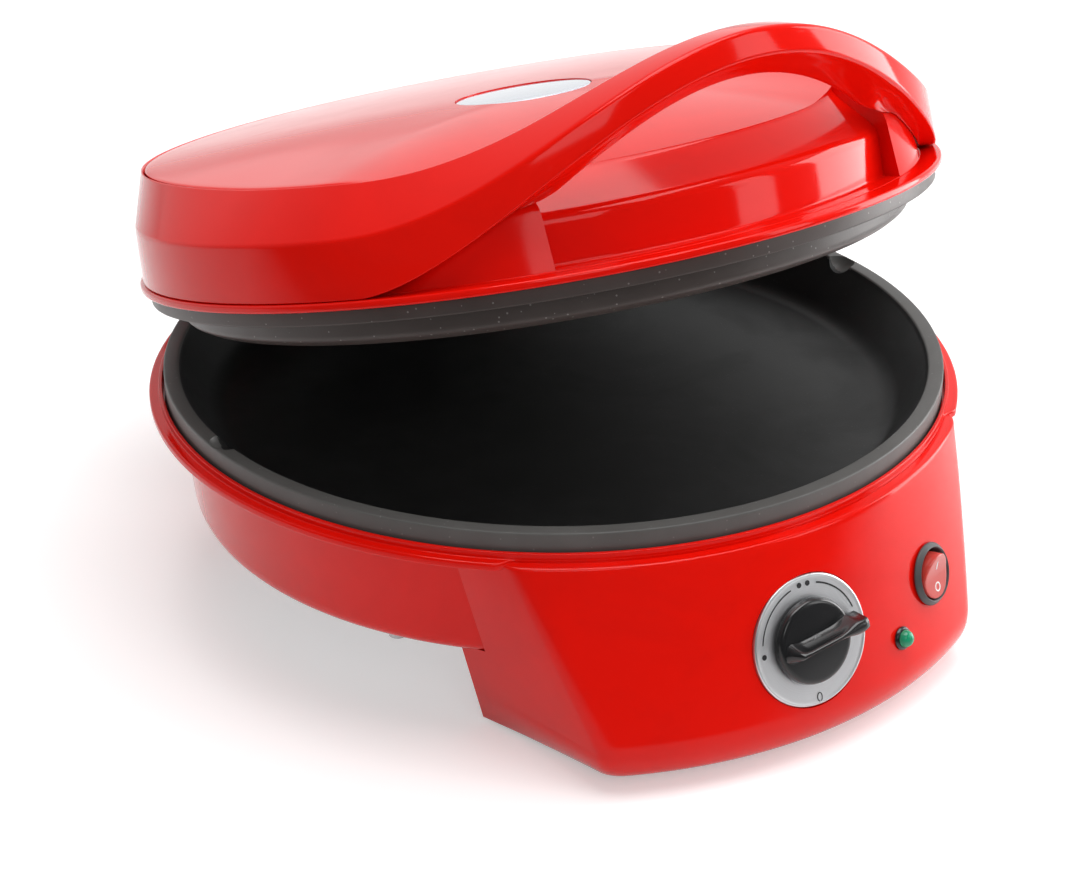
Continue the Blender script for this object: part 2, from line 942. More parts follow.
@dataclass
class Base(Assembly):
    """The red bowl with its flange and raised lip."""

    step: Span = (39.6, 2.6)
    foot_ledge: float = 14.0

    def shell(self) -> Piece:
        """The bowl as one ring of sections.

        The section's flange corner moves in from the flange radius to the lip's over the control
        housing, by a smooth step of the angle from the front, which draws the curved step there.

        Returns:
            The bowl.
        """
        s = SIZE
        u = turn(720)
        a = np.degrees(np.minimum(u, 2 * np.pi - u))
        back = grow(a, self.step)
        out = mix(s.flange_front_r + 0.15, s.flange_r, back)
        low = mix(-s.flange_t + 0.4, -s.flange_t, back)
        floor, ledge, wall_r = -s.bowl_depth, s.bowl_low_r - self.foot_ledge, s.bowl_top_r - s.wall
        corners = sections([
            (s.lip_r, -1.4), (s.lip_r, 2.8), (s.flange_front_r, 2.8), (s.flange_front_r, 0.0),
            (out, 0.0), (out, low), (s.bowl_top_r, -s.flange_t - 0.6),
            (s.bowl_low_r, floor), (ledge, floor), (ledge, floor + s.wall),
            (s.bowl_low_r - s.wall, floor + s.wall), (wall_r, -8.0), (wall_r, -3.0), (s.lip_r, -3.0),
        ], len(u))
        size = np.array([0.3, 0.4, 0.4, 0.6, 1.3, 1.0, 0.8, 8.0, 0.2, 0.2, 2.0, 0.4, 0.3, 0.2])
        return loop_mesh("base_moulding", place(around(fillet(corners, size, 5), u)))

    def build(self) -> None:
        """Builds and dresses the bowl."""
        self.keep(self.shell(), "red", "red_plastic", "base_shell")


@dataclass
class ControlHousing(Assembly):
    """The red housing in front, with a leaning cone for its face, creased sides and a rounded foot."""

    top_z: float = -1.0
    top_lip: float = 1.1
    foot_round: float = 17.0
    back_y: float = -98.0
    crease: float = 3.2
    crease_angle: float = 1.9
    flare: float = 0.25
    back_flare: float = 0.27
    foot_draw: float = 13.0

    @property
    def round_z(self) -> float:
        """Height of the foot rounding's centre."""
        return SIZE.floor_z + self.foot_round

    def face_r(self, z: Array) -> Array:
        """Radius of the face: a straight cone, then a quarter round of the foot.

        Args:
            z: heights.

        Returns:
            The radius at each height.
        """
        lean = math.radians(SIZE.panel_lean)
        start = self.round_z + self.foot_round * math.sin(lean)
        centre = SIZE.face_top_r - start * math.tan(lean) - self.foot_round * math.cos(lean)
        cone = SIZE.face_top_r - z * math.tan(lean)
        dip = np.maximum(self.foot_round**2 - (z - self.round_z) ** 2, 0)
        return np.where(z > start, cone, centre + np.sqrt(dip))

    def half(self, z: Array) -> Array:
        """Half width of the face from crease to crease: straight, then drawn in by the foot rounding.

        Args:
            z: heights.

        Returns:
            The half width at each height.
        """
        under = np.clip((self.round_z - z) / self.foot_round, 0, 1) * math.radians(75)
        straight = SIZE.housing_w / 2 + self.flare * np.maximum(z, self.round_z)
        return straight - self.foot_draw * (1 - np.cos(under))

    def rings(self, inset: Array, z: Array) -> Array:
        """Closed rings at the heights z.

        Each ring runs from the right back corner along the right side, over the rounded crease,
        along the arc of the face with x = r cos b, y = -r sin b, and back along the left side.

        Args:
            inset: how far each ring is drawn in.
            z: the rings' heights.

        Returns:
            (n, k, 3) points.
        """
        r, x = self.face_r(z) - inset, self.half(z) - inset
        back_x = SIZE.flange_r - SIZE.housing_inset + z * self.back_flare - inset
        y = -np.sqrt(r**2 - x**2)
        a, give = np.arccos(x / r), np.radians(self.crease_angle)
        t = np.linspace(0, 1, 9)[None, :, None]
        start = stack(x + (back_x - x) * 0.1, y + self.crease * 1.4)[:, None]
        end = stack(r * np.cos(a + give), -r * np.sin(a + give))[:, None]
        corner = start * (1 - t) ** 2 + stack(x, y)[:, None] * 2 * t * (1 - t) + end * t**2
        b = mix((a + give)[:, None], (np.pi - a - give)[:, None], np.linspace(0, 1, 90)[None, 1:-1])
        face = stack(r[:, None] * np.cos(b), -r[:, None] * np.sin(b))
        back = stack(back_x, self.back_y - inset)[:, None]
        side = mix(back, start, np.linspace(0, 1, 8)[None, :-1, None])
        left = [(corner * FLIP)[:, ::-1], (side * FLIP)[:, ::-1]]
        ring = np.concatenate([side, corner, face, *left], 1)
        return np.concatenate([ring, np.broadcast_to(z[:, None, None], (*ring.shape[:2], 1))], -1)

    def bowl_room(self) -> Array:
        """Outline of the room that the bowl takes, a fifth of a millimetre larger than the bowl.

        Returns:
            (k, 2) radius and height.
        """
        s, room = SIZE, 0.2
        rim, low, floor = s.flange_front_r + room, -s.flange_t - 1.2, -s.bowl_depth - room
        return np.array([
            [0, 6], [rim, 6], [rim, low], [s.bowl_top_r + room, low],
            [s.bowl_low_r + room, 2 - s.bowl_depth], [s.bowl_low_r - 5.5, floor], [0, floor],
        ], float)

    def form(self) -> Piece:
        """The closed housing with its inner hollow and seats cut out and its top edge rounded.

        Returns:
            The housing.
        """
        edge = np.radians(np.linspace(0, 90, 6))
        z = np.concatenate([
            self.top_z - self.top_lip * (1 - np.cos(edge)),
            np.linspace(-4, -66, 26), np.linspace(-68, SIZE.floor_z, 30),
        ])
        inset = np.concatenate([self.top_lip * (1 - np.sin(edge)), np.zeros(len(z) - len(edge))])
        outer = capped_mesh("control_moulding", place(self.rings(inset, z)))
        inner_z = np.array([self.top_z - SIZE.wall, -20, -44, -69, -74, -79, SIZE.floor_z - 1])
        inner = self.rings(np.full(len(inner_z), SIZE.wall), inner_z)
        cut(
            outer,
            capped_mesh("inner_form", place(inner)),
            turned("bowl_form", self.bowl_room(), Space.BASE),
            panel_disc("dial_seat", SIZE.dial, SIZE.dial_d / 2 + 0.35, -2.2),
            panel_disc("switch_seat", SIZE.switch, 11.4, -10),
            panel_disc("lamp_seat", SIZE.lamp, 3.7, -10),
        )
        return outer

    def build(self) -> None:
        """Builds and dresses the housing."""
        self.keep(self.form(), "red", "red_plastic", "control_housing")


@dataclass
class Controls(Assembly):
    """Dial plate with its marks, winged knob, rocker switch and pilot lamp."""

    plate_sink: float = -0.25
    mark_lift: float = 0.06
    mark_sink: float = 0.02
    mark_t: float = 0.05
    mark_r: float = 23.1
    wing_tail: float = -15.9
    wing_tip: float = 21.6
    wing_root: float = 1.6
    wing_sharp: float = 38.0
    tail_rise: Span = (-16.6, 5.2)
    tip_drop: Span = (19.0, 4.4)
    grip_start: Span = (-13.0, 6.0)
    grip_end: Span = (9.0, 8.0)
    root_thins: Span = (15.0, 6.0)
    crest_widens: Span = (6.0, 12.0)
    disc_top: float = 4.0
    rocker_low: float = 4.5
    rocker_rise: float = 1.9
    rocker_pin_z: float = -1.5

    def dial_plate(self) -> None:
        """Spun plate with a rolled outer edge."""
        r, hole = SIZE.dial_d / 2, 4.2
        corners = np.array([
            [hole, -2.0], [r - 0.1, -2.0], [r, -0.5], [r - 0.7, 0.0],
            [r - 1.8, self.plate_sink], [hole, self.plate_sink],
        ])
        profile = fillet(corners, np.array([0.1, 0.2, 0.4, 0.5, 0.5, 0.1]), 4)
        plate = panel_turned("dial_disc", profile, SIZE.dial, 192)
        self.keep(plate, "dial_metal", "aluminium_trim", "dial_plate")

    def printed(self, name: str, rings: Array) -> None:
        """A printed mark on the dial plate: rings whose last axis is x, y and the place in its height.

        Args:
            name: the mark's name.
            rings: (m, n, 3) points, with 0 for the mark's foot and 1 for its top.
        """
        foot = self.plate_sink + self.mark_lift - self.mark_sink
        rings = rings * np.array([1, 1, self.mark_sink + self.mark_t]) + np.array([0, 0, foot])
        mark = capped_mesh(name, place(panel_points(rings, SIZE.dial)))
        self.keep(mark, "ink", "black_plastic")

    def marks(self) -> None:
        """The dial's marks: four dots, two thin arcs between them and a nought below."""
        level = np.array([0.0, 0.0, 1.0, 1.0])
        u = turn(24)
        for i, (angle, radius) in enumerate(((95.5, 23.3), (85.5, 23.2), (10.5, 23.1), (181.5, 22.8))):
            a = math.radians(angle)
            x, y = radius * math.cos(a) + 1.1 * np.cos(u), radius * math.sin(a) + 1.1 * np.sin(u)
            self.printed(f"dial_dot_{i}", np.stack([stack(x, y, 0.0), stack(x, y, 1.0)]))
        for i, (start, end, thin, thick) in enumerate(((169.5, 106.0, 0.4, 0.5), (75.0, 19.5, 0.75, 0.5))):
            a = np.radians(np.linspace(start, end, 40))
            line = stack(self.mark_r * np.cos(a), self.mark_r * np.sin(a))
            edges = ribbon(line, np.linspace(thin, thick, len(a)))
            self.printed(f"dial_arc_{i}", stack(edges[..., 0], edges[..., 1], level))
        edges = ribbon(circle(0.7, -23.9, 1.1, 1.8, 41), 0.42)
        self.printed("dial_nought", stack(edges[..., 0], edges[..., 1], level))

    def knob_disc(self) -> None:
        """The knob's low turned disc."""
        r, top = SIZE.knob_d / 2, self.disc_top
        corners = np.array([
            [0, 0.5], [r - 0.4, 0.5], [r, 1.1], [r - 0.8, 3.4], [r - 1.8, top], [0, top + 0.3],
        ])
        profile = fillet(corners, np.array([0, 0.3, 0.5, 0.7, 1.0, 0]), 4, closed=False)
        disc = panel_turned("knob_disc", profile, SIZE.dial, 160)
        self.keep(disc, "black", "black_plastic", "knob", body=Body.DIAL)

    def knob_wing(self) -> None:
        """The ridged wing across the knob.

        The wing is a grid of lengthwise stations. Each station's half section runs from the root up to
        the ridge; its width falls with height, straight at the tip and with a hollow,
        width = crest + (root - crest)(1 - t) to the power 2.4, where the fingers grip.
        """
        tail, tip = self.wing_tail, self.wing_tip
        x = np.concatenate([
            [tail], np.linspace(tail + 0.2, tail + 3.7, 10), np.linspace(tail + 4.4, tip - 1.4, 50),
            [tip - 0.7, tip - 0.2, tip],
        ])[:, None]
        t = np.concatenate([np.linspace(0, 0.9, 14), [0.95, 0.98, 1.0]])[None]
        rise, drop = grow(x, self.tail_rise), grow(x, self.tip_drop)
        hollow = grow(x, self.grip_start) * fade(x, self.grip_end)
        height = mix(self.disc_top, SIZE.knob_h - 0.1, rise) - 1.6 * drop
        root = 5.6 - 2.0 * grow(x, self.root_thins) - 0.6 * (1 - rise)
        crest = 0.9 + 1.3 * grow(x, self.crest_widens)
        half = crest + (root - crest) * mix(1 - t, (1 - t) ** 2.4, hollow * 0.9)
        half = half * np.sqrt(np.clip(1 - ((t - 0.86) / 0.14).clip(0) ** 2 * 0.85, 0, 1))
        z = self.wing_root + (height - self.wing_root) * t
        rings = np.concatenate([stack(x, half, z), stack(x, -half, z)[:, ::-1]], 1)
        points = panel_points(spun(rings, SIZE.knob_rest, 0, 1), SIZE.dial)
        wing = capped_mesh("knob_wing", place(points), self.wing_sharp)
        self.keep(wing, "black", "black_plastic", body=Body.DIAL)

    def switch(self) -> None:
        """Grey bezel ring and the well behind the rocker."""
        r, inner, barrel, deep = SIZE.bezel_d / 2, SIZE.rocker_d / 2 + 1.1, 11.1, -12.0
        corners = np.array([
            [inner, deep], [barrel, deep], [barrel, 0.45], [r, 0.45],
            [r, 1.2], [r - 1.6, 2.7], [inner + 0.6, 2.9], [inner, 2.2],
        ])
        ring = fillet(corners, np.array([0.1, 0.3, 0.1, 0.2, 0.6, 0.9, 0.5, 0.4]), 4)
        self.keep(panel_turned("switch_bezel", ring, SIZE.switch), "grey", "grey_plastic", "power_switch")
        well = np.array([[0, deep], [inner, deep], [inner, deep + 3], [0, deep + 3]])
        self.keep(panel_turned("switch_well", well, SIZE.switch, 48), "grey", "grey_plastic")

    def rocker_top(self, y: Array) -> Array:
        """Height of the rocker's face: lowest at the pin, rising with the distance to the power 1.6."""
        return self.rocker_low + self.rocker_rise * (np.abs(y) / (SIZE.rocker_d / 2)) ** 1.6

    def tipped(self, name: str, rings: Array) -> Piece:
        """A capped piece on the rocker, tipped about the pin that lies across the panel."""
        rings = spun(rings, SIZE.rocker_tilt, 1, 2) + np.array([0, 0, self.rocker_pin_z])
        return capped_mesh(name, place(panel_points(rings, SIZE.switch)))

    def rocker(self) -> None:
        """The rocker as a polar grid with a rounded rim, and its two printed marks."""
        u = turn(96)
        rho = np.concatenate([np.linspace(0.04, 0.9, 14), [0.95, 0.985, 1.0, 1.0, 1.0]])[:, None]
        edge = np.concatenate([np.zeros(14), [0.12, 0.5, 1.1, 3.0, 7.0]])[:, None]
        x, y = rho * SIZE.rocker_d / 2 * np.cos(u), rho * SIZE.rocker_d / 2 * np.sin(u)
        cap = self.tipped("rocker_cap", stack(x, y, self.rocker_top(y) - edge))
        self.keep(cap, "red_lens", "red_lens", "rocker_button", body=Body.SWITCH)
        lift = np.array([0.0, 0.0, 0.08, 0.08])
        for name, line, width in (
            ("rocker_stroke", stack(0.0, np.linspace(3.0, 6.6, 12)), 0.75),
            ("rocker_ring", circle(0.0, -4.8, 1.7, 1.7, 33), 0.6),
        ):
            edges = ribbon(line, width)
            top = self.rocker_top(edges[..., 1]) + lift
            mark = self.tipped(name, stack(edges[..., 0], edges[..., 1], top))
            self.keep(mark, "white_ink", "pale_inlay", body=Body.SWITCH)

    def lamp(self) -> None:
        """Dark bezel and a domed lens."""
        r, hole, neck = SIZE.lamp_d / 2, 2.9, 3.4
        corners = np.array([
            [hole, -8.0], [neck, -8.0], [neck, 0.25], [r, 0.25],
            [r, 0.7], [r - 0.6, 1.6], [neck + 0.1, 1.6], [hole, 1.0],
        ])
        ring = fillet(corners, np.array([0.1, 0.1, 0.1, 0.1, 0.4, 0.4, 0.3, 0.2]), 3)
        self.keep(panel_turned("lamp_ring", ring, SIZE.lamp, 96), "black", "black_plastic", "lamp_bezel")
        a = np.radians(np.linspace(0, 90, 14))
        stem = np.array([[0.0, -2.0], [2.75, -2.0], [2.75, 1.75]])
        dome = np.concatenate([stem, stack(3.6 * np.cos(a), 1.8 + 3.5 * np.sin(a))])
        self.keep(panel_turned("lamp_dome", dome, SIZE.lamp, 96), "green_lens", "green_lens", "lamp_lens")

    def build(self) -> None:
        """Builds and dresses the controls."""
        self.dial_plate()
        self.marks()
        self.knob_disc()
        self.knob_wing()
        self.switch()
        self.rocker()
        self.lamp()


@dataclass
class Plates(Assembly):
    """The dished pan in the base and the stepped plate under the lid."""

    plate_t: float = 3.0
    notch_r: float = 8.0
    pan_floor_r: float = 147.0

    def scoop(self, side: int) -> Piece:
        """The ball that scoops a notch: rings of a half turn carried round.

        Args:
            side: -1 for the left notch and 1 for the right.

        Returns:
            The ball.
        """
        a = np.radians(np.linspace(-89, 89, 24))
        profile = stack(self.notch_r * np.cos(a), self.notch_r * np.sin(a))
        centre = np.array([side * (SIZE.pan_rim_in_r - 1), 0.0, SIZE.pan_rim_z + 3])
        points = place(around(profile, turn(48)) + centre)
        return capped_mesh("scoop", points.transpose(1, 0, 2))

    def pan(self) -> None:
        """The pan as a turned skin, with a scoop out of its rim on each side and a darker inside."""
        s, floor, under, r_in = SIZE, SIZE.pan_floor_z, SIZE.pan_floor_z - self.plate_t, SIZE.pan_rim_in_r
        corners = np.array([
            [0, floor], [self.pan_floor_r, floor], [r_in - 0.9, s.pan_rim_z - 2], [r_in, s.pan_rim_z],
            [s.pan_r, s.pan_rim_z], [s.pan_r, -2.8], [158.4, -2.8], [153, floor - 0.5],
            [self.pan_floor_r + 2, under], [0, under],
        ])
        profile = fillet(corners, np.array([0, 6.0, 0.8, 0.7, 0.8, 0.5, 1, 2, 2, 0]), 5, closed=False)
        piece = turned("pan_casting", profile, Space.BASE, 360)
        cut(piece, self.scoop(-1), self.scoop(1))
        self.keep(piece, "pan_rim", "nonstick_iron", "pan")
        piece.data.materials.append(self.finish["pan_inside"])
        middle = np.empty(len(piece.data.polygons) * 3)
        piece.data.polygons.foreach_get("center", middle)
        x, y, z = middle.reshape(-1, 3).T * 1000
        inside = (np.hypot(x, y) < r_in - 0.1) & (z - s.flange_z > floor - 1)
        dark = inside & (z - s.flange_z < s.pan_rim_z - 0.9)
        piece.data.polygons.foreach_set("material_index", dark.astype(np.int32))

    def upper(self) -> None:
        """The upper plate: a flat cooking face, a step that dips into the pan and an edge over its rim."""
        s, t, low_r, edge_r = SIZE, self.plate_t, SIZE.plate_low_r, SIZE.plate_edge_r
        seat, top = s.plate_seat_z, s.plate_top_z
        low = seat - s.plate_step_h
        corners = np.array([
            [0, low], [low_r - 5, low], [low_r, low + 3.2], [low_r, seat], [edge_r, seat],
            [edge_r, top], [edge_r - 2.4, top], [edge_r - 2.8, seat + t], [low_r - 3, seat + t],
            [low_r - 5, low + t + 1], [low_r - 8, low + t], [0, low + t],
        ])
        size = np.array([0, 2.0, 2.0, 0.8, 0.9, 0.5, 0.4, 0.5, 1, 1, 1, 0])
        piece = turned("upper_casting", fillet(corners, size, 5, closed=False), Space.LID, 360)
        self.keep(piece, "coating", "nonstick_iron", "upper_plate", body=Body.LID)

    def build(self) -> None:
        """Builds and dresses both plates."""
        self.pan()
        self.upper()


@dataclass
class Lid(Assembly):
    """Lid cover with its finger recess, the arched handle band and the blank inlay.

    The spans are angles from the front, in degrees, over which one form passes into another.

    Attributes:
        body: the body that it rides.
        count: sections round the lid.
        roof_t: thickness of the cover's dome.
        knee_z: height at which the cover's wall bends inwards under the handle.
        inlay_y: place of the inlay along y.
        inlay_sink: depth of the inlay's foot under the dome's top.
        handle: the handle's full section thins to the band's.
        underside: the handle's underside meets the cover's wall.
        underside_end: that underside passes into the band's.
        band_in: the band's upper edge moves outwards to the rear.
        shoulder_up: the shoulder climbs to the rear.
        shoulder_in: the cover's gap to the band closes.
        cover_front: the cover's wall under the handle passes into the one behind the band.
        cover_edge: the same for the dome's edge.
        cover_line: the same for the cover's inner line.
        edge_up: the dome's edge climbs from the recess to the shoulder.
    """

    body: Body = Body.LID
    count: int = 480
    roof_t: float = 3.0
    knee_z: float = 44.0
    inlay_y: float = -3.0
    inlay_sink: float = 1.5
    handle: Span = (28.0, 18.0)
    underside: Span = (26.0, 10.0)
    underside_end: Span = (60.0, 6.0)
    band_in: Span = (80.0, 45.0)
    shoulder_up: Span = (75.0, 60.0)
    shoulder_in: Span = (58.0, 8.0)
    cover_front: Span = (46.0, 16.0)
    cover_edge: Span = (30.0, 16.0)
    cover_line: Span = (36.0, 14.0)
    edge_up: Span = (24.0, 40.0)

    def angles(self) -> tuple[Array, Array]:
        """Angles round the lid in radians, and their distance from the front in degrees."""
        u = turn(self.count)
        return u, np.degrees(np.minimum(u, 2 * np.pi - u))

    @staticmethod
    def rise(a: Array, half: float, power: float) -> Array:
        """Share of the arch's rise: cos(90 a / half) to a power within the half angle, else 0."""
        return np.cos(np.radians(90 * np.minimum(a, half) / half)).clip(0) ** power

    def back_lift(self, a: Array) -> Array:
        """How much higher the shoulder stands towards the rear."""
        return 4 * grow(a, self.shoulder_up)

    def band_heights(self, a: Array) -> tuple[Array, Array, Array, Array]:
        """Course of the band's edges: each is level and rises over the arch by its own share.

        Args:
            a: angles from the front, in degrees.

        Returns:
            Heights of the lower edge, the crease and the upper edge, and the upper edge's radius.
        """
        s = SIZE
        low = s.bead_top_z + 0.2 + s.arch_rise * self.rise(a, s.arch_half, 1.6)
        mid = s.crease_z + (s.arch_rise - 12) * self.rise(a, s.arch_half + 5, 2.35)
        up = s.shoulder_z + (s.arch_rise - 30) * self.rise(a, s.arch_half + 3, 2.5) + self.back_lift(a)
        return low, mid, up, s.lid_r - 19.5 + 11 * grow(a, self.band_in)

    def wall_r(self, z: Array) -> Array:
        """Radius of the cover's wall under the handle: a steep line up to the knee, then 45 degrees.

        Args:
            z: heights.

        Returns:
            The radius at each height.
        """
        foot, knee = SIZE.lid_r - 9, SIZE.lid_r - 12.5
        slope = (z - SIZE.bead_top_z) / (self.knee_z - SIZE.bead_top_z)
        return np.where(z < self.knee_z, foot - (foot - knee) * slope, knee - (z - self.knee_z))

    def band(self) -> Piece:
        """The band: a closed ring of six-cornered sections, thin on the lid's side, full at the handle.

        Returns:
            The band.
        """
        u, a = self.angles()
        lid_r, bead = SIZE.lid_r, SIZE.bead_top_z
        low, mid, up, up_r = self.band_heights(a)
        k = fade(a, self.handle)
        z4, z5 = mix(mid - 1.6, low - 8.5, k), mix(low, low - 3, k)
        r4 = np.maximum(mix(lid_r - 4.9, lid_r - 18.5, k), self.wall_r(z4) + 1.2)
        r5 = np.maximum(mix(lid_r - 3.9, lid_r - 8, k), self.wall_r(z5) + 0.6)
        z4, z5 = np.maximum(z4, bead + 1.4), np.maximum(z5, bead + 0.2)
        # where the handle leaves the side, its underside is closed back to the cover's wall
        fill = grow(a, self.underside) * fade(a, self.underside_end)
        r4, r5 = mix(r4, self.wall_r(z4) + 0.3, fill), mix(r5, self.wall_r(z5) + 0.3, fill)
        corners = sections([
            (lid_r - 1.5, low), (lid_r - 2.5, mid), (up_r, up), (up_r - 1.6, up - mix(3, 4, k)),
            (r4, z4), (r5, z5),
        ], len(u))
        thin, full = np.array([0.8, 1.3, 1.0, 0.4, 0.5, 0.4]), np.array([1.6, 2.0, 2.0, 2.0, 3.0, 2.0])
        points = around(fillet(corners, mix(thin, full, k[:, None]), 5), u)
        return loop_mesh("handle_arch", place(points, Space.LID))

    def cover_form(self) -> Piece:
        """The cover before its recess is cut.

        Every section runs from the middle over the dome, z = top - (top - edge) s squared, round the
        shoulder, down the wall, round the rim bead and back inside.

        Returns:
            The closed cover.
        """
        s, lid_r = SIZE, SIZE.lid_r
        u, a = self.angles()
        front, edge, line = (fade(a, span) for span in (self.cover_front, self.cover_edge, self.cover_line))
        up_r = self.band_heights(a)[3]
        re = mix(up_r - mix(2.8, 0.8, grow(a, self.shoulder_in)), lid_r - 16.5, edge)
        ze = mix(s.shoulder_z - 0.4 + self.back_lift(a), 48.0, fade(a, self.edge_up))
        ri, zi = mix(re - 5, lid_r - 22.5, line), mix(ze - 6, 40.0, line)
        corners = sections([
            (re * 0.97, s.lid_top_z - (s.lid_top_z - ze) * 0.97**2), (re, ze),
            (mix(re - 2.4, lid_r - 12.5, front), mix(ze - 3.8, self.knee_z, front)),
            (mix(np.minimum(re, lid_r - 11.5), lid_r - 11, front), 34.0),
            (lid_r - 9, s.bead_top_z), (lid_r, s.bead_top_z), (lid_r, s.bead_low_z),
            (mix(lid_r - 13.5, lid_r - 21.1, line), s.bead_low_z),
            (mix(np.minimum(re - 3.4, lid_r - 14), lid_r - 21.5, line), 30.0), (ri, zi),
        ], len(u))
        size = np.array([0.0, 2.0, 2.5, 3.0, 0.7, 1.2, 1.2, 0.3, 2.0, 0.0])
        share = np.concatenate([[0.01], np.linspace(0.04, 0.96, 30)])
        dome = self.dome(re, ze, s.lid_top_z, share)
        roof = self.dome(ri, zi, s.lid_top_z - self.roof_t, share[::-2])
        section = np.concatenate([dome, fillet(corners, size, 4, closed=False), roof], 1)
        return capped_mesh("lid_dome", place(around(section, u), Space.LID).transpose(1, 0, 2))

    @staticmethod
    def dome(edge_r: Array, edge_z: Array, top: float, share: Array) -> Array:
        """A dome's sections: height = top - (top - edge) s squared.

        Args:
            edge_r: radius of the dome's edge at each angle.
            edge_z: height of the edge at each angle.
            top: height of the middle.
            share: the points' shares of the edge's radius.

        Returns:
            (n, k, 2) radius and height.
        """
        return stack(edge_r[:, None] * share, top - (top - edge_z)[:, None] * share**2)

    def recess(self) -> Piece:
        """The finger recess's room: a profile swept along x, bent so that it keeps the profile's radius.

        Returns:
            The closed room.
        """
        s = SIZE
        back, front, out, low = s.lid_r - 38.5, s.lid_r - 17.5, s.lid_r + 6, s.bead_top_z + 0.2
        corners = np.array([[back, 54], [front, 39.5], [front, low], [out, low], [out, 90], [back, 90]])
        profile = fillet(corners, np.array([3.0, 3.5, 1.5, 0, 0, 0]), 6)
        x = np.linspace(-s.recess_w / 2, s.recess_w / 2, 180)[:, None]
        points = stack(x, -np.sqrt(profile[None, :, 0] ** 2 - x**2), profile[None, :, 1])
        return capped_mesh("recess_room", place(points, Space.LID))

    def inlay_seat(self) -> Piece:
        """The shallow round seat of the inlay.

        Returns:
            The closed seat.
        """
        r, low = SIZE.inlay_d / 2 + 0.25, SIZE.lid_top_z - self.inlay_sink - 0.2
        profile = np.array([[0, low], [r, low], [r, low + 12], [0, low + 12]])
        return lid_turned("inlay_room", profile, self.inlay_y)

    def inlay(self) -> Piece:
        """The blank round inlay, slightly domed, with a softened rim.

        Returns:
            The inlay.
        """
        r, low = SIZE.inlay_d / 2, SIZE.lid_top_z - self.inlay_sink
        share = np.linspace(0.02, 0.97, 20)
        top = stack(r * share, low + 1.2 - 0.35 * share**2)
        rim = np.array([[r - 0.25, low + 0.75], [r, low + 0.5], [r, low], [0.2, low]])
        return lid_turned("inlay_disc", np.concatenate([top, rim]), self.inlay_y)

    def build(self) -> None:
        """Builds and dresses the lid's mouldings."""
        cover = self.cover_form()
        cut(cover, self.recess(), self.inlay_seat())
        self.keep(cover, "red", "red_plastic", "lid_cover")
        self.keep(self.band(), "red", "red_plastic", "handle_band")
        self.keep(self.inlay(), "inlay", "pale_inlay", "lid_inlay")


# ---------------------------------------------------------------- carried-over CAD nodes


@dataclass(frozen=True)
class CarriedNodes:
    """The CAD nodes that stay as they are: what each wears, and how far its edges are softened.

    Attributes:
        red_bevel: width of the softened edges of red mouldings, in metres.
        bevel: width of all others, in metres.
        bevel_from: edges that bend by more than this many degrees are softened.
    """

    red_bevel: float = 0.0006
    bevel: float = 0.00025
    bevel_from: float = 40.0

    @property
    def wear(self) -> dict[str, tuple[str, ...]]:
        """The nodes that wear each finish.

        Returns:
            The finish's plain name to the names of its nodes.
        """
        return {
            "red": ("rear_legs", "hinge_base", "hinge_cover"),
            "grey": ("housing_floor",),
            "steel": (
                "bottom_cover", "lower_element", "element_clips", "thermostat_bracket", "control_shaft",
                "base_screws", "hinge_pin", "hinge_arms", "upper_element", "lid_screws", "pan_studs",
                "thermal_fuse",
            ),
            "tin": ("lower_reflector", "upper_reflector"),
            "ceramic": ("thermostat", "terminal_block"),
            "rubber": ("rubber_feet", "cord_gland"),
            "glass": ("neon_lamp",),
        }

    def soften(self, node: Piece, width: float) -> None:
        """Joins a node's loose triangles and bevels its edges.

        Args:
            node: the node's object.
            width: width of a softened edge, in metres.
        """
        weld = node.modifiers.new("weld", "WELD")
        weld.merge_threshold = WELD
        soft = node.modifiers.new("soft_edges", "BEVEL")
        soft.limit_method, soft.angle_limit = "ANGLE", math.radians(self.bevel_from)
        soft.width, soft.segments = width, 2
        soft.harden_normals = True

    def dress(self, nodes: dict[str, Piece], finish: Finishes) -> None:
        """Gives each node its finish and soft edges.

        Args:
            nodes: the frame's nodes by name.
            finish: the finishes by plain name.
        """
        for key, names in self.wear.items():
            for name in names:
                materials = nodes[name].data.materials
                for slot in range(len(materials)):
                    materials[slot] = finish[key]
                if not materials:
                    materials.append(finish[key])
                self.soften(nodes[name], self.red_bevel if key == "red" else self.bevel)
                LOG.info("%s keeps its solid", name)


# ---------------------------------------------------------------- studio


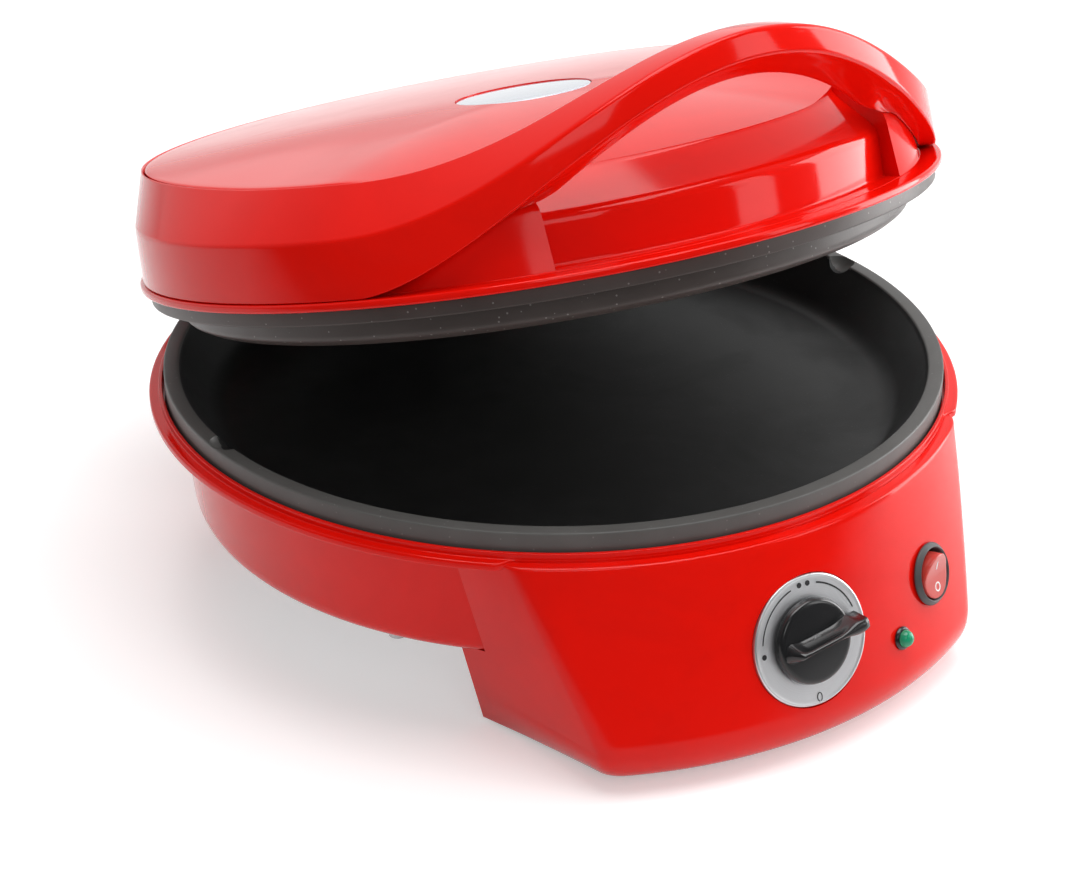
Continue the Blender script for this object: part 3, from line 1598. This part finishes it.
@dataclass(frozen=True)
class Studio:
    """Floor, light and camera.

    Attributes:
        azimuth: camera's direction round the object, in degrees; 0 looks along +Y.
        elevation: camera's height above the horizon, in degrees.
        distance: camera's distance from its aim, in millimetres.
        focal: focal length in pixels of a picture as wide as picture_w.
        picture_w: the photograph's width, in pixels.
        aim: shift of the aim from the pan's centre at the flange plane, right and up, in millimetres.
        ambient: the world's strength as a source of diffuse light.
        floor_glow: white added to the floor where the camera or a reflection sees it.
        floor_half: half the floor's side, in metres.
        lamp_aim: height on the axis at which a lamp is aimed, in metres.
    """

    azimuth: float = -34.5
    elevation: float = 27.1
    distance: float = 1221.0
    focal: float = 2800.0
    picture_w: float = 1080.0
    aim: tuple[float, float] = (-5.8, -31.3)
    ambient: float = 0.32
    floor_glow: float = 0.38
    floor_half: float = 6.0
    lamp_aim: float = 0.12

    def camera(self) -> None:
        """Makes the camera from its angles and aim."""
        a, e = math.radians(self.azimuth), math.radians(self.elevation)
        back = Vector((math.sin(a) * math.cos(e), -math.cos(a) * math.cos(e), math.sin(e)))
        right = Vector((math.cos(a), math.sin(a), 0.0))
        up = back.cross(right)
        spot = Vector((0.0, 0.0, SIZE.flange_z)) + right * self.aim[0] + up * self.aim[1]
        data = bpy.data.cameras.new("camera")
        data.sensor_width, data.lens = 36.0, self.focal / self.picture_w * 36
        data.clip_start, data.clip_end = 0.05, 50.0
        camera = bpy.data.objects.new("camera", data)
        bpy.context.scene.collection.objects.link(camera)
        turn_to = Matrix((right, up, back)).transposed().to_4x4()
        camera.matrix_world = Matrix.Translation((spot + back * self.distance) / 1000) @ turn_to
        bpy.context.scene.camera = camera

    def lamp(
        self, name: str, spot: Point, size: tuple[float, float], power: float, level: bool = False
    ) -> None:
        """A soft rectangular lamp.

        Args:
            name: the lamp's name.
            spot: its place, in metres.
            size: its width and height, in metres.
            power: its power, in watts.
            level: whether it stands upright at its own height, and isn't aimed at the object's middle.
        """
        data = bpy.data.lights.new(name, "AREA")
        data.shape, data.size, data.size_y, data.energy = "RECTANGLE", size[0], size[1], power
        lamp = bpy.data.objects.new(name, data)
        lamp.location = spot
        lamp.rotation_mode = "QUATERNION"
        target = Vector((0, 0, spot[2] if level else self.lamp_aim))
        lamp.rotation_quaternion = (Vector(spot) - target).to_track_quat("Z", "Y")
        lamp.visible_camera = False
        bpy.context.scene.collection.objects.link(lamp)

    def surroundings(self) -> None:
        """White surroundings.

        The world's strength is 1 for camera, glossy and transmission rays and lower as a source of
        diffuse light. The photographer's side of the room is dark in glossy rays: a ramp on the dot
        product of the ray's direction with the way to the camera.
        """
        world = bpy.data.worlds.new("studio")
        bpy.context.scene.world = world
        world.use_nodes = True
        kit = Nodes(world.node_tree)
        path = kit.add("LightPath")
        glossy = path.outputs["Is Glossy Ray"]
        level = kit.ramp(kit.shown(path, glossy), 0.0, 1.0, (self.ambient, 1.0))
        way = kit.towards_camera(kit.add("TexCoord").outputs["Generated"])
        dim = kit.math("MULTIPLY", glossy, kit.ramp(way, -1.0, 0.3, (0.0, 0.93)))
        strength = kit.math("MULTIPLY", level, kit.math("SUBTRACT", 1.0, dim))
        kit.fill(world.node_tree.nodes["Background"], {"Color": (1, 1, 1, 1), "Strength": strength})

    def floor(self) -> None:
        """A pale floor that glows where it is seen, and is dark to glossy rays on the camera's side."""
        corners = self.floor_half * np.array([[-1, -1, 0], [1, -1, 0], [1, 1, 0], [-1, 1, 0]])
        floor = make_mesh("floor", corners, [[0, 1, 2, 3]])
        kit = Dressing("pale_floor")
        path = kit.add("LightPath")
        glossy = path.outputs["Is Glossy Ray"]
        far = kit.math("MULTIPLY", glossy, kit.ramp(kit.towards_camera(kit.coords), 0.1, 0.45))
        shown = kit.shown(path, kit.math("SUBTRACT", glossy, far))
        floor.data.materials.append(kit.finish({
            "Base Color": kit.blend(far, (0.8, 0.8, 0.8), (0.06, 0.06, 0.06)),
            "Roughness": 0.9,
            "Specular IOR Level": 0.1,
            "Emission Color": (1, 1, 1, 1),
            "Emission Strength": kit.math("MULTIPLY", shown, self.floor_glow),
        }))

    def build(self) -> None:
        """Sets up the whole studio."""
        self.camera()
        self.surroundings()
        self.floor()
        self.lamp("over", (0.1, -0.1, 1.9), (1.5, 1.5), 29.0)
        self.lamp("right", (0.9, -0.285, 0.36), (0.53, 0.7), 6.5, level=True)
        self.lamp("window", (0.74, -1.1, 0.62), (0.32, 0.8), 2.2, level=True)
        self.lamp("front", (-0.9, -1.7, 1.3), (0.9, 0.9), 5.0)


def finishes() -> Finishes:
    """Builds every finish.

    Returns:
        The materials, by the plain name that the sub-assemblies ask for.
    """
    dial = tuple(float(part) for part in place(panel_points(np.zeros(3), SIZE.dial)))
    dial_axis = (math.radians(90 - SIZE.panel_lean), math.radians(SIZE.dial.phi))
    made = {
        "red": MouldedPlastic("red_moulding", (0.8, 0.006, 0.002), 0.09, 0.05, 1e-5, 0.02, specular=0.28),
        "black": MouldedPlastic("black_moulding", (0.012, 0.012, 0.013), 0.2, 0.08, 1.5e-5, 0.1, coat=0.3),
        "grey": MouldedPlastic("grey_moulding", (0.07, 0.072, 0.075), 0.42, 0.06, 2.5e-5, 0.6),
        "ceramic": MouldedPlastic("ceramic_body", (0.75, 0.72, 0.64), 0.5, 0.1, 3e-5, 0.5),
        "rubber": MouldedPlastic("rubber", (0.02, 0.02, 0.02), 0.7, 0.1, 4e-5, 0.8, specular=0.3),
        "ink": MouldedPlastic("black_ink", (0.015, 0.015, 0.017), 0.5, 0.05, 1e-5, 0.1),
        "white_ink": MouldedPlastic("white_ink", (0.9, 0.9, 0.9), 0.4, 0.05, 1e-5, 0.1),
        "inlay": MouldedPlastic("pale_inlay", (0.66, 0.72, 0.82), 0.12, 0.05, 1e-5, 0.02, coat=0.8),
        "coating": NonStick("plate_coating", (0.052, 0.038, 0.034), (0.2, 0.18, 0.17), 0.4, 0.3),
        "pan_inside": NonStick("pan_coating", (0.006, 0.006, 0.006), (0.03, 0.03, 0.03), 0.4, 0.2),
        "pan_rim": NonStick("rim_coating", (0.085, 0.082, 0.078), (0.16, 0.155, 0.15), 0.42, 0.2),
        "dial_metal": Metal("dial_metal", (0.84, 0.85, 0.87), 0.38, dial, dial_axis),
        "steel": Metal("drawn_steel", (0.56, 0.56, 0.57), 0.32, tarnish=0.3),
        "tin": Metal("bright_sheet", (0.75, 0.76, 0.77), 0.22),
        "green_lens": TintedLens("green_lens", (0.02, 0.5, 0.25), 0.4, 0.06),
        "red_lens": TintedLens("red_lens", (0.85, 0.08, 0.06), 0.35, 0.12),
        "glass": TintedLens("lamp_glass", (0.95, 0.93, 0.9), 0.95, 0.02),
    }
    return {key: finish.build() for key, finish in made.items()}


def main() -> None:
    """Builds every sub-assembly in order and keeps the two size boxes."""
    logging.basicConfig(level=logging.INFO, format="%(name)s: %(message)s")
    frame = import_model()
    bpy.context.scene.view_settings.view_transform = "Standard"
    Studio().build()
    finish = finishes()
    for assembly in (Base, ControlHousing, Plates, Controls, Lid):
        assembly(finish).build()
    CarriedNodes().dress(frame["nodes"], finish)


if __name__ == "__main__":
    main()
